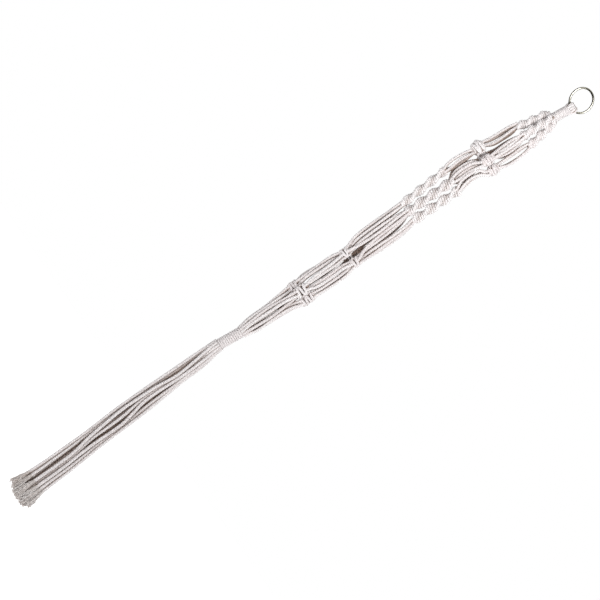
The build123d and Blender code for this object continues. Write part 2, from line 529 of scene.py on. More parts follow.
def about_axis(head: Array, foot: Array, radius: float) -> Surround:
    """Which way is out of a knot about a straight axis.

    Args:
        head: the axis's upper end.
        foot: its lower end.
        radius: the knot's radius.

    Returns:
        A function from a line to a level vector at each of its points.
    """

    def outward(line: Array) -> Array:
        """Each point's offset from the axis, as a share of the knot's radius.

        Args:
            line: rows of x, y, z.

        Returns:
            A level vector for each row.
        """
        share = np.clip((line[:, 2] - head[2]) / (foot[2] - head[2]), 0, 1)[:, None]
        found = (line - head - share * (foot - head)) / radius
        found[:, 2] = 0.0
        return found

    return outward


def occlusion_shade(outward: Array, facing: Array, low: float, high: float) -> Array:
    """Painted occlusion shade on a cord's surface, by how deep in the bundle each point lies: 0 outside, 1 inside.

    Exposure is the size of outward times a share that goes with the cosine of the angle between it and the
    surface's facing, and hidden is 1 less the smooth step of exposure from low to high.

    Args:
        outward: for each point of the cord's middle, which way is out and how far out it stands.
        facing: the direction that each point of its surface faces, n by m by 3.
        low: the exposure at which the surface gets the full painted shade.
        high: the exposure at which it gets none.

    Returns:
        The painted shade, n by m.
    """
    size = np.linalg.norm(outward, axis=1)
    unit = outward / np.maximum(size, 1e-6)[:, None]
    cosine = np.einsum("nmk,nk->nm", facing, unit)
    share = (FACING_OUT + FACING_IN) / 2 + (FACING_OUT - FACING_IN) / 2 * cosine
    return 1 - smooth_step((np.minimum(size, 1.0)[:, None] * share - low) / (high - low))


def shade_from_neighbours(line: Array, facing: Array, crowd: list[Array], diameter: float) -> Array:
    """How much painted shade neighbouring cords cast on each point of a cord's surface, from 0 to 1.

    A neighbour whose middle is d away at the same height adds TOUCHING - d / diameter, held between 0 and 1,
    times the cube of the cosine of the angle between its direction and the surface's facing.

    Args:
        line: the cord's middle, from the top down.
        facing: the direction that each point of its surface faces, n by m by 3.
        crowd: the middles of the neighbours, from the top down; the cord's own may be among them.
        diameter: the cords' diameter.

    Returns:
        The closeness, n by m.
    """
    total = np.zeros(facing.shape[:2])
    for other in crowd:
        beside = [np.interp(-line[:, 2], -other[:, 2], other[:, k]) - line[:, k] for k in (0, 1)]
        away = np.hypot(*beside)
        near = np.clip(TOUCHING - away / diameter, 0, 1) * (away > 0.05 * diameter)
        cosine = sum(facing[..., k] * (beside[k] / np.maximum(away, 1e-6))[:, None] for k in (0, 1))
        total += near[:, None] * np.clip(cosine, 0, 1) ** 3
    return np.clip(total, 0, 1)


def laid_cord(
    line: Array,
    cord: Cord,
    tone: float,
    phase: float = 0.0,
    swell: Array | None = None,
    surround: Surround = Outline().outward,
    low: float = 0.04,
    high: float = 0.58,
    crowd: tuple | list = (),
) -> Grid:
    """A twisted cord's surface along a line.

    The point at distance s and angle p is the line's point plus r(p) times the frame turned by p + 2 pi s / lay.

    Args:
        line: the cord's middle, as rows of x, y, z.
        cord: its make.
        tone: 0 to 1, how warm this cord is.
        phase: where its lay starts, in radians.
        swell: a factor on its thickness at each of the even points, as many as wanted.
        surround: which way is out of the bundle or knot that the cord lies in.
        low: the exposure at which its surface gets the full painted occlusion shade.
        high: the exposure at which it gets none.
        crowd: the middles of the neighbouring cords, which cast painted shade on it where they touch.

    Returns:
        The closed tube.
    """
    line = evenly(line, cord.step)
    n, m = len(line), cord.around
    first, second = carried_frames(line)
    s = np.arange(n) * float(np.linalg.norm(np.diff(line, axis=0), axis=1).mean())
    p = np.linspace(0.0, 2 * np.pi, m, endpoint=False)
    outline = cord.outline()
    lay = p[None, :] + phase - 2 * np.pi * s[:, None] / cord.lay
    radius = np.broadcast_to(outline * cord.diameter / 2, (n, m)).copy()
    if swell is not None:
        radius *= np.interp(np.linspace(0, 1, n), np.linspace(0, 1, len(swell)), swell)[:, None]
    facing = np.cos(lay)[..., None] * first[:, None, :] + np.sin(lay)[..., None] * second[:, None, :]
    ring = line[:, None, :] + radius[..., None] * facing
    # inside is painted shade: occlusion where the surface faces into the bundle or knot, and shade from touching
    # neighbours.
    unshaded_share = 1 - occlusion_shade(surround(line), facing, low, high)
    unshaded_share *= 1 - NEIGHBOUR_SHADE * shade_from_neighbours(line, facing, crowd, cord.diameter)
    inside = (1 - unshaded_share).ravel()
    j = np.arange(m)
    k = (j + 1) % m
    head = np.stack([np.full(m, n * m), k, j], axis=1)
    tail = np.stack([np.full(m, n * m + 1), (n - 1) * m + j, (n - 1) * m + k], axis=1)
    # crest is the height over the bottom of the grooves, which the material turns into painted shade there.
    crest = np.broadcast_to(1.0 - (1.0 - outline) / DEEPEST_GROOVE, (n, m)).ravel()
    uv = np.stack([np.repeat(s / MM, m), np.tile(p / (2 * np.pi), n)], axis=1)
    return Grid(
        np.concatenate([ring.reshape(-1, 3), line[:1], line[-1:]]),
        [grid_quads(n, m, False, True), np.concatenate([head, tail])],
        np.concatenate([uv, uv[:1], uv[-1:]]),
        np.concatenate([crest, [END_CREST] * 2]),
        np.full(n * m + 2, tone),
        np.concatenate([inside, inside[:1], inside[-1:]]),
    )


def linked(name: str, mesh: bpy.types.Mesh, finish: Finish) -> bpy.types.Object:
    """An object at the origin from a mesh, with its finish, in the scene.

    Args:
        name: its name.
        mesh: its mesh.
        finish: its material.

    Returns:
        The object.
    """
    mesh.materials.append(finish.material)
    piece = bpy.data.objects.new(name, mesh)
    bpy.context.scene.collection.objects.link(piece)
    return piece


def make_piece(name: str, grids: list[Grid], finish: Finish) -> bpy.types.Object:
    """One mesh object from closed tubes.

    Args:
        name: the piece's name.
        grids: the tubes.
        finish: its material.

    Returns:
        The object, at the origin, smooth shaded.
    """
    points = np.concatenate([g.points for g in grids])
    starts = np.cumsum([0] + [len(g.points) for g in grids])
    quads = np.concatenate([g.faces[0] + at for g, at in zip(grids, starts)])
    threes = np.concatenate([g.faces[1] + at for g, at in zip(grids, starts)])
    corners = np.concatenate([quads.ravel(), threes.ravel()]).astype(np.int32)
    sizes = np.concatenate([np.full(len(quads), 4), np.full(len(threes), 3)])
    loop_start = np.concatenate([[0], np.cumsum(sizes)[:-1]]).astype(np.int32)
    mesh = bpy.data.meshes.new(name)
    mesh.vertices.add(len(points))
    mesh.vertices.foreach_set("co", points.astype(np.float32).ravel())
    mesh.loops.add(len(corners))
    mesh.loops.foreach_set("vertex_index", corners)
    mesh.polygons.add(len(sizes))
    mesh.polygons.foreach_set("loop_start", loop_start)
    mesh.polygons.foreach_set("use_smooth", np.ones(len(sizes), bool))
    mesh.update(calc_edges=True)
    uv = np.concatenate([g.along_round for g in grids])[corners]
    layer = mesh.uv_layers.new(name="along_round")
    layer.uv.foreach_set("vector", uv.astype(np.float32).ravel())
    for key in ("crest", "tone", "inside"):
        values = np.concatenate([getattr(g, key) for g in grids]).astype(np.float32)
        mesh.attributes.new(key, "FLOAT", "POINT").data.foreach_set("value", values)
    return linked(name, mesh, finish)


def at(place: Place, height: float) -> Array:
    """A point from a place in millimetres and a height in millimetres, in metres."""
    return np.array([place[0], place[1], height]) * MM


def turned_place(place: Place, angle: float, radial: float, tangential: float) -> Place:
    """A place beside another: so far outwards along an angle in degrees, and so far round from it."""
    x, y = turned(radial, tangential, math.radians(angle))
    return place[0] + x, place[1] + y


# ---------------------------------------------------------------------------------------------------------------
# Knots: each returns the lines that its cords follow
# ---------------------------------------------------------------------------------------------------------------


def tucked(t: Array, count: float, tuck: float) -> Array:
    """How far out a knot's working cord stands, so that both its ends start and finish inside the knot.

    It is 1 over most of the knot, and falls by tuck, as a smooth step, over the half turn past each end.

    Args:
        t: how many crossings down the knot each point is.
        count: the crossings in the knot.
        tuck: how much the ends go in, as a share.

    Returns:
        The share of the full reach at each point.
    """
    return 1 - tuck * smooth_step((0.15 - np.minimum(t, count - t)) / 0.7)


@dataclass
class HalfKnotChain:
    """A chain of half knots: two working cords that pass in turn before and behind two straight fillers.

    Sizes are in metres, between two points of the chain's axis.
    """

    head: Array
    foot: Array
    wide: float
    thick: float
    pitch: float
    bulge: float
    first_bulge: float
    tuck: float = 0.75

    def lines(self) -> list[Array]:
        """The two working cords and the two fillers.

        At t half knots down, a working cord stands at angle pi t on an ellipse wide by thick, which itself turns
        half round in each bulge and faces front at the first. The sides swell, where one cord hooks the other.

        Returns:
            Four lines, as rows of x, y, z.
        """
        length = float(np.linalg.norm(self.foot - self.head))
        count = max(2, int(round(length / self.pitch)))
        t = np.linspace(-0.6, count + 0.6, count * 26 + 32)
        share = t / count
        axis = self.head + share[:, None] * (self.foot - self.head)
        grow = tucked(t, count, self.tuck)
        frame_turn = np.pi * (share * length - self.first_bulge) / self.bulge
        found = []
        for side in (0.0, np.pi):
            theta = np.pi * t + side
            hook = 1 + 0.10 * np.abs(np.cos(theta)) ** 6
            x = self.wide * grow * hook * np.cos(theta)
            y = self.thick * grow * np.sin(theta)
            found.append(axis + self._flat(x, y, frame_turn))
        for side in (-1, 1):
            x = np.full_like(t, side * self.thick * 0.42)
            found.append(axis + self._flat(x, np.zeros_like(t), frame_turn))
        return found

    @staticmethod
    def _flat(x: Array, y: Array, turn: Array) -> Array:
        """Offsets in the level plane, turned about the upright."""
        return np.stack([*turned(x, y, turn), np.zeros(len(x))], axis=1)


@dataclass
class SquareKnot:
    """One cord laid to and fro across the front, the other across the back, hooking at the sides."""

    middle: Array
    height: float
    wide: float
    thick: float
    bars: int
    facing: float
    round_over: float = 0.0

    def lines(self) -> list[Array]:
        """The front cord, the back cord and the two fillers.

        The front cord's place at t bars down is (-wide cos pi t, -thick |sin pi t|^0.6). It goes down mostly at
        the sides, so its bars lie level. With round_over, both shrink by the cosine of the latitude, to a ball.

        Returns:
            Four lines, as rows of x, y, z.
        """
        t = np.linspace(-0.55, self.bars + 0.55, int(self.bars * 34))
        share = t / self.bars
        grow = tucked(t, self.bars, 0.8)
        latitude = np.clip(0.5 - share, -0.6, 0.6) * np.pi * 0.80
        ball = 1 - self.round_over * (1 - np.cos(latitude))
        z = self.height * (0.5 - share)
        if self.round_over:
            z = self.height / 2 * np.sin(latitude) / math.sin(np.pi * 0.4)
        step = -np.sin(2 * np.pi * t) * 0.12 * self.height / self.bars
        found = []
        for front in (1, -1):
            x = -front * self.wide * np.cos(np.pi * t) * ball * grow
            across = np.abs(np.sin(np.pi * t)) ** 0.6
            y = -front * grow * (self.thick * across * ball - 0.25 * self.thick * (1 - across))
            found.append(self._placed(x, y, z + step))
        for side in (-1, 1):
            x = np.full_like(t, side * 0.45 * self.thick)
            found.append(self._placed(x, np.zeros_like(t), z))
        return found

    def _placed(self, x: Array, y: Array, z: Array) -> Array:
        """Turns the knot's own x, y, z so that its front faces the facing angle, and moves it to its middle."""
        return np.stack([*turned(x, y, math.radians(self.facing + 90)), z], axis=1) + self.middle


@dataclass
class Wrapping:
    """A cord wound closely round the bundle, turn under turn."""

    head: Array
    foot: Array
    radius: float
    pitch: float

    def line(self) -> Array:
        """A helix about the axis from head to foot, whose radius strays a little as it goes.

        Returns:
            The line, as rows of x, y, z.
        """
        turns = float(np.linalg.norm(self.foot - self.head)) / self.pitch
        t = np.linspace(0.0, 1.0, int(turns * 48))
        angle = 2 * np.pi * turns * t
        axis = self.head + t[:, None] * (self.foot - self.head)
        stray = 1 + 0.012 * np.sin(angle * 0.37 + 1.0)
        offset = np.stack([np.cos(angle), np.sin(angle), np.zeros_like(angle)], axis=1)
        return axis + self.radius * stray[:, None] * offset


# ---------------------------------------------------------------------------------------------------------------
# Sub-assemblies
# ---------------------------------------------------------------------------------------------------------------


@dataclass
class Workshop:
    """What every sub-assembly is made with: the finishes, the cord and the numbers drawn for variety."""

    cotton: Finish
    unlaid: Finish
    nickel: Finish
    draw: np.random.Generator
    cord: Cord = Cord()
    tight: Cord = Cord(diameter=4.3 * MM, lay=9.0 * MM, ply_reach=0.36, around=15)
    shaded: tuple = (0.20, 0.86)  # the exposures at which a knot's surface gets the full painted shade, and none

    def cords(self, lines: list[Array], cord: Cord | None = None, **more: object) -> list[Grid]:
        """Laid cords along lines, each with its own tone and phase.

        Args:
            lines: their middles.
            cord: their make, or none for the usual.
            more: whatever else laid_cord takes.

        Returns:
            Their surfaces.
        """
        cord = cord or self.cord
        return [
            laid_cord(line, cord, float(self.draw.random()), float(self.draw.random() * 6.28), **more)
            for line in lines
        ]

    def wound(self, lines: list[Array], cord: Cord, head: Array, foot: Array, radius: float) -> list[Grid]:
        """Cords wound round an axis, with painted shade in their grooves.

        Args:
            lines: their middles.
            cord: their make.
            head: the axis's upper end.
            foot: its lower end.
            radius: the distance from the axis at which they get no painted shade.

        Returns:
            Their surfaces.
        """
        low, high = self.shaded
        return self.cords(lines, cord, surround=about_axis(head, foot, radius), low=low, high=high)

    def knotted(self, lines: list[Array], head: Array, foot: Array, radius: float) -> list[Grid]:
        """The cords of one knot about an axis, pulled tight."""
        return self.wound(lines, self.tight, head, foot, radius)

    def cord_piece(self, node: str, grids: list[Grid], name: str = "") -> bpy.types.Object:
        """A cotton piece that stands for one node.

        Args:
            node: the node.
            grids: its surfaces.
            name: the piece's name, or none for the node's with _cords.

        Returns:
            The piece, which rides on nothing yet.
        """
        piece = make_piece(name or f"{node}_cords", grids, self.cotton)
        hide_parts(node)
        LOG.info("%s: %d cords", piece.name, len(grids))
        return piece

    def knot_piece(self, node: str, body: str, grids: list[Grid]) -> None:
        """A piece that stands for one node and rides on its body."""
        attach(self.cord_piece(node, grids), body)


@dataclass
class Ring:
    """The metal ring and the folds of the cords over it."""

    bore: float = 35.0
    wire: float = 3.3
    yaw: float = 25.0
    eye_width: float = 16.0
    fold: Cord = Cord(diameter=3.9 * MM, lay=8.0 * MM, step=0.6 * MM, ply_reach=0.45)

    @property
    def radius(self) -> float:
        """The radius of the wire's middle line."""
        return (self.bore + self.wire) / 2

    def directions(self) -> tuple[Array, Array, Array]:
        """The ring's level direction, its normal and the upright.

        Returns:
            The three, as unit vectors.
        """
        a = math.radians(self.yaw)
        level = np.array([math.cos(a), math.sin(a), 0.0])
        normal = np.array([-math.sin(a), math.cos(a), 0.0])
        return level, normal, np.array([0.0, 0.0, 1.0])

    def wire_point(self, angle: Array) -> Array:
        """The wire's middle: the ring's middle plus its radius times sin a along the level less cos a upwards.

        Args:
            angle: how far round from the ring's lowest point, in radians.

        Returns:
            Rows of x, y, z, in millimetres.
        """
        level, _, up = self.directions()
        middle = np.array([0.0, 0.0, -self.bore / 2])
        angle = np.atleast_1d(angle)[:, None]
        return middle + self.radius * (np.sin(angle) * level - np.cos(angle) * up)

    def build(self, shop: Workshop) -> None:
        """Makes the ring, as a wire swept round a circle with its weld just proud, and the folds.

        The point at angle a round the ring and p round the wire is the wire's middle plus r(a) times
        cos p outwards and sin p along the normal.

        Args:
            shop: what it is made with.
        """
        _, normal, _ = self.directions()
        n, m = 180, 20
        angle = np.linspace(0, 2 * np.pi, n, endpoint=False)
        middle = self.wire_point(angle)
        out = (middle - np.array([0, 0, -self.bore / 2])) / self.radius
        p = np.linspace(0, 2 * np.pi, m, endpoint=False)
        weld = 1 + 0.035 * np.exp(-(((angle - 2.5) / 0.03) ** 2))
        r = self.wire / 2 * weld[:, None]
        across, beside = ((r * wave(p))[..., None] for wave in (np.cos, np.sin))
        points = middle[:, None, :] + across * out[:, None, :] + beside * normal
        quads = grid_quads(n, m, True, True)[:, OTHER_WAY]
        mesh = bpy.data.meshes.new("ring_wire")
        mesh.from_pydata((points.reshape(-1, 3) * MM).tolist(), [], quads.tolist())
        mesh.polygons.foreach_set("use_smooth", np.ones(len(quads), bool))
        piece = linked("ring_wire", mesh, shop.nickel)
        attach(piece, "ring")
        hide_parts("ring")
        LOG.info("ring_wire: %d faces", len(quads))
        self.build_eye(shop)

    def build_eye(self, shop: Workshop) -> None:
        """Makes the folds: eight cords over the wire, four close to it and four in the grooves between.

        Args:
            shop: what they are made with.
        """
        level, normal, up = self.directions()
        span = self.eye_width / self.radius
        lines = []
        for i in range(8):
            outer = i % 2
            angle = (i / 7 - 0.5) * span * (0.80 + 0.1 * outer)
            wire = self.wire_point(angle)[0]
            out = math.sin(angle) * level - math.cos(angle) * up
            reach = (5.6 if outer else 3.45) + 0.25 * math.sin(i * 2.3)
            psi = np.radians([-112, -75, -38, 0, 38, 75, 112])[:, None]
            arc = wire + reach * (-np.cos(psi) * out + np.sin(psi) * normal)
            drift = math.sin(angle) * self.radius * 0.55
            first, last = (
                [drift * level + side * (2.6 + 1.2 * outer) * normal + up * height for height in (-43.5, -48.5)]
                for side in (-1, 1)
            )
            lines.append(nurbs_line(np.concatenate([first[::-1], arc, last]) * MM))
        start, end = self.wire_point(0.0)[0] * MM, np.array([0, 0, NECK_TOP]) * MM
        piece = shop.cord_piece("cord_eye", shop.wound(lines, self.fold, start, end, 4.0 * MM), "cord_eye_folds")
        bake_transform(piece)


# Heights of the hanger's stations, in millimetres, as in the frame
NECK_TOP, NECK_FOOT = -43.4, -71.9
UPPER_FOOT = -119.9
BERRY_TOP, BERRY_FOOT = -173.9, -196.4
SPIRAL_TOP, SPIRAL_FOOT = -245.9, -326.9
BINDING_TOP, BINDING_FOOT = -629.9, -671.9
# Half the distance between a knot's strands, in millimetres, where they enter it
SENNIT_HALF, BERRY_HALF, ROW_HALF = 2.4, 2.9, 3.2

# Where the neck ends and where each arm's knots stand, as (x, y) in millimetres
NECK_FOOT_AT: Place = (-3.0, 0.0)
UPPER_HEAD_AT = per_arm((2.5, 0.5), (-5.0, 6.5), (-12.7, 1.0), (-4.5, -5.5))
UPPER_FOOT_AT = per_arm((10.5, 0.5), (-6.0, 9.5), (-25.0, 1.0), (-6.0, -8.5))
BERRY_AT = per_arm((9.8, 0.0), (-13.0, 10.0), (-30.5, 0.0), (-6.8, -8.0))
BERRY_RADIUS = per_arm(8.2, 8.2, 11.2, 8.2)
SPIRAL_HEAD_AT = per_arm((5.4, 0.0), (-12.0, 10.0), (-30.7, 0.0), (-11.2, -5.0))
SPIRAL_FOOT_AT = per_arm((4.0, 0.0), (-12.0, 9.5), (-26.0, 0.0), (-11.5, -5.0))
SPIRAL_RADIUS = per_arm(7.2, 6.8, 6.2, 6.9)
# The two rows of square knots: angle, place, top, foot, radius and number of bars
FIRST_ROW = {
    "back_right": (45, (-0.6, 10.0), -430.4, -442.4, 7.3, 2),
    "back_left": (135, (-11.6, 10.0), -430.4, -442.4, 7.3, 2),
    "front_left": (225, (-14.6, -5.5), -433.4, -445.4, 7.3, 2),
    "front_right": (315, (5.6, -5.5), -428.9, -440.9, 7.3, 2),
}
SECOND_ROW = per_arm(
    (0, (9.9, 0.0), -514.4, -535.4, 7.4, 4),
    (90, (-4.0, 9.2), -517.4, -533.9, 7.4, 3),
    (180, (-17.8, 3.0), -523.4, -538.4, 7.4, 3),
    (270, (-5.2, -8.0), -515.9, -533.9, 8.4, 3),
)
BINDING_HEAD_AT: Place = (-6.0, 0.0)
BINDING_FOOT_AT: Place = (-9.6, 0.0)
OUTER_SLOTS, INNER_SLOTS = 7.75, 2.9


def quad(place: Place, angle: float, half: float) -> dict[tuple[int, int], Place]:
    """The four strand places in a knot, keyed (outer or inner, this side or that side round the bundle)."""
    return {(a, b): turned_place(place, angle, a * half, b * half) for a in (1, -1) for b in (1, -1)}


def towards_front(angle: float, share: float) -> float:
    """The angle that a knot faces when it keeps only a share of its turn away from the front, at 270 degrees."""
    return 270 + share * ((angle - 90) % 360 - 180)


@dataclass
class Held:
    """A loose strand held by a knot at each end, and its place half way down."""

    start: Place
    end: Place
    top: float
    bottom: float
    mid: Place
    overrun: float = 4.0  # how far it runs into a knot, in millimetres
    sway: float = 0.8  # how far it strays, in millimetres
    bow = ((0.18, 0.80), (0.50, 1.0), (0.82, 0.80))  # share of the way down, and of the way out to its middle

    def line(self, draw: np.random.Generator) -> Array:
        """The strand's middle, running a little way into both knots.

        Args:
            draw: what its strays are drawn from.

        Returns:
            The line, as rows of x, y, z.
        """
        rows = [at(self.start, self.top + self.overrun), at(self.start, self.top)]
        for t, share in self.bow:
            near = self.start if t < 0.5 else self.end
            x, y = (near[k] + share * (self.mid[k] - near[k]) for k in (0, 1))
            stray_x, stray_y = draw.normal(0.0, self.sway, 2)
            rows.append(at((x + stray_x, y + stray_y), self.top - t * (self.top - self.bottom)))
        rows += [at(self.end, self.bottom), at(self.end, self.bottom - self.overrun)]
        return nurbs_line(np.array(rows))


# Each loose strand's place half way down, in the order that quad gives a knot's four strands
UPPER_MIDS = per_arm(
    ((16.8, 3.5), (17.7, -1.0), (7.5, 3.0), (6.3, -2.0)),
    ((-12.0, 9.0), (3.5, 9.5), (-5.0, 6.0), (0.0, 6.5)),
    ((-30.8, -2.0), (-27.0, 3.5), (-22.6, -3.0), (-19.4, 2.5)),
    ((-1.6, -8.5), (-10.8, -8.0), (2.2, -5.0), (-6.0, -7.5)),
)
MIDDLE_MIDS = per_arm(
    ((4.2, 3.5), (1.0, -4.0), (1.4, 2.0), (-5.4, -9.5)),
    ((-24.5, 6.5), (-3.0, 7.5), (-21.0, 3.0), (-2.0, 3.5)),
    ((-37.0, -1.0), (-28.5, 4.0), (-30.5, -4.0), (-26.3, -1.0)),
    ((-7.5, -8.0), (-17.2, -8.0), (-12.4, -7.0), (-22.2, -6.0)),
)
LONG_MIDS = per_arm(
    ((13.0, 4.0), (10.0, -5.0), (8.5, 8.0), (4.6, -6.5)),
    ((-15.0, 9.0), (1.5, 9.0), (-10.0, 6.5), (-2.5, 6.5)),
    ((-27.6, -3.0), (-27.0, 3.5), (-22.8, -6.5), (-21.5, 7.5)),
    ((-6.4, -9.0), (-11.6, -9.0), (-1.6, -7.5), (-17.2, -7.5)),
)
NET_MIDS = {
    "back_right": ((3.5, 9.5), (14.8, 4.0), (-1.5, 8.5), (9.5, 7.5)),
    "back_left": ((-23.0, 4.0), (-7.0, 9.5), (-18.0, 7.5), (-12.5, 8.5)),
    "front_left": ((-12.6, -9.0), (-23.0, -3.5), (-7.4, -9.0), (-18.0, -7.0)),
    "front_right": ((14.4, -3.5), (3.4, -9.0), (9.0, -7.0), (-2.0, -9.3)),
}
GATHER_MIDS = per_arm(
    ((6.4, 0.0), (5.2, -5.0), (4.5, 5.0), (1.0, -3.0)),
    ((-5.5, 9.0), (0.5, 8.0), (-10.5, 7.5), (-5.0, 4.5)),
    ((-17.7, 0.0), (-16.5, 4.5), (-15.8, -4.5), (-13.0, 0.0)),
    ((-7.0, -9.0), (-11.6, -7.6), (0.2, -7.8), (-6.5, -5.0)),
)


@dataclass
class Net:
    """Everything between the neck and the binding: sennits, berry knots, square knots and loose strands."""

    shop: Workshop
    neck_cord: Cord = Cord(diameter=2.8 * MM, lay=5.0 * MM, around=12, step=0.6 * MM, ply_reach=0.12)
    neck_core: Cord = Cord(diameter=11.6 * MM, lay=40.0 * MM, around=24, step=2.0 * MM, ply_reach=0.3)
    neck_radius: float = 6.4
    neck_pitch: float = 2.2
    half_knot: float = 4.2  # one half knot's height in a chain
    sennit: tuple = (5.3, 2.7, 17.0)  # half width, half depth and height of a bulge
    spiral: tuple = (2.5, 23.0)  # half depth and height of a bulge
    berry_height: float = 16.5
    row_depth: float = 4.4
    binding_cord: Cord = Cord(diameter=3.7 * MM, lay=8.0 * MM, around=15, step=0.8 * MM, ply_reach=0.45)
    binding_core: Cord = Cord(diameter=13.0 * MM, lay=60.0 * MM, around=24, step=2.0 * MM, ply_reach=0.3)
    binding_radius: float = 7.1
    binding_pitch: float = 3.4

    def build(self) -> None:
        """Makes the net from the neck down."""
        self.build_neck()
        self.build_upper_sennits()
        self.build_berries()
        self.build_spirals()
        self.build_rows()
        self.build_loose_strands()
        self.build_binding()

    def build_neck(self) -> None:
        """The upper wrapping, in fine close turns over the cords' upper ends."""
        head, foot = at((0.0, 0.0), NECK_TOP + 2.2), at(NECK_FOOT_AT, NECK_FOOT)
        wrap = Wrapping(head, foot, self.neck_radius * MM, self.neck_pitch * MM)
        inner = np.array([at((0.0, 0.0), NECK_TOP + 1.4), at(NECK_FOOT_AT, NECK_FOOT + 1.0)])
        grids = self.shop.wound([wrap.line()], self.neck_cord, head, foot, 3.8 * MM)
        grids += self.shop.wound([inner], self.neck_core, head, foot, 4.6 * MM)
        self.shop.knot_piece("neck_wrap", "neck", grids)

    def chain(self, node: str, body: str, ends: tuple, sizes: tuple, radius: float) -> None:
        """Makes one chain of half knots.

        Args:
            node: the node that it stands for.
            body: the body that it rides on.
            ends: its head and its foot.
            sizes: its half width and half depth, and the heights of a bulge and of the first bulge.
            radius: the distance from its axis at which its cords get no painted shade.
        """
        wide, thick, bulge, first = (size * MM for size in sizes)
        chain = HalfKnotChain(*ends, wide, thick, self.half_knot * MM, bulge, first)
        self.shop.knot_piece(node, body, self.shop.knotted(chain.lines(), *ends, radius * MM))

    def build_upper_sennits(self) -> None:
        """The short twisted sennits that fan out under the neck."""
        lean = per_arm((1.5, 1.0), (0.0, 0.0), (0.0, 2.5), (1.0, -1.0))
        first = per_arm(10.0, 12.0, 6.0, 17.0)
        for arm in Arm:
            head = at(UPPER_HEAD_AT[arm], NECK_FOOT + 2.0) + np.array([lean[arm][0] * MM, 0, 0])
            foot = at(UPPER_FOOT_AT[arm], UPPER_FOOT) + np.array([lean[arm][1] * MM, 0, 0])
            self.chain(f"upper_sennit_{arm.title}", "neck", (head, foot), (*self.sennit, first[arm]), 4.2)

    def build_berries(self) -> None:
        """The ball knots: a square knot rolled up round its own cords."""
        t = np.linspace(0, 1, 15)
        swell = np.sqrt(np.maximum(1 - (2 * t - 1) ** 2, 0.09))
        for arm in Arm:
            radius = BERRY_RADIUS[arm]
            head, foot = at(BERRY_AT[arm], BERRY_TOP), at(BERRY_AT[arm], BERRY_FOOT)
            knot = SquareKnot(
                (head + foot) / 2,
                height=self.berry_height * MM,
                wide=(radius - 1.1) * MM,
                thick=(radius - 1.6) * MM,
                bars=5,
                facing=90 if arm is Arm.BACK else towards_front(arm.value, 0.3),
                round_over=0.75,
            )
            grids = self.shop.knotted(knot.lines(), head, foot, (radius - 2.0) * MM)
            grids += self.shop.cords(self.core_lines(arm))
            ball = Cord(diameter=1.55 * radius * MM, lay=60 * MM, around=24, ply_reach=0.3, step=1.2 * MM)
            grids += self.shop.cords([head + t[:, None] * (foot - head)], ball, swell=swell)
            self.shop.knot_piece(f"berry_knot_{arm.title}", "berries", grids)

    @staticmethod
    def core_lines(arm: Arm) -> list[Array]:
        """The four strands that run through a ball knot, drawn in half way down.

        Args:
            arm: the arm that the knot is on.

        Returns:
            Their middles.
        """
        middle_x, middle_y = BERRY_AT[arm]
        found = []
        for x, y in quad(BERRY_AT[arm], arm.value, BERRY_HALF).values():
            mean = ((x + middle_x) / 2, (y + middle_y) / 2)
            places = ((x, y), BERRY_TOP + 0.5), (mean, (BERRY_TOP + BERRY_FOOT) / 2), ((x, y), BERRY_FOOT - 0.5)
            found.append(nurbs_line(np.array([at(*place) for place in places])))
        return found

    def build_spirals(self) -> None:
        """The long half-knot spirals."""
        first = per_arm(2.5, 9.0, 1.5, 11.0)
        for arm in Arm:
            ends = at(SPIRAL_HEAD_AT[arm], SPIRAL_TOP), at(SPIRAL_FOOT_AT[arm], SPIRAL_FOOT)
            sizes = (SPIRAL_RADIUS[arm] - 0.9, *self.spiral, first[arm])
            self.chain(f"spiral_sennit_{arm.title}", "spirals", ends, sizes, 4.4)

    def build_rows(self) -> None:
        """The two staggered rows of square knots."""
        rows = [(f"first_row_knot_{side}", "first_row", row) for side, row in FIRST_ROW.items()]
        rows += [(f"second_row_knot_{arm.title}", "second_row", row) for arm, row in SECOND_ROW.items()]
        for node, body, (angle, place, top, foot, radius, bars) in rows:
            ends = at(place, top), at(place, foot)
            knot = SquareKnot(
                (ends[0] + ends[1]) / 2,
                height=(top - foot - 2.0) * MM,
                wide=(radius - 0.9) * MM,
                thick=self.row_depth * MM,
                bars=bars,
                facing=angle if angle in (45, 90, 135) else towards_front(angle, 0.35),
            )
            self.shop.knot_piece(node, body, self.shop.knotted(knot.lines(), *ends, 4.0 * MM))

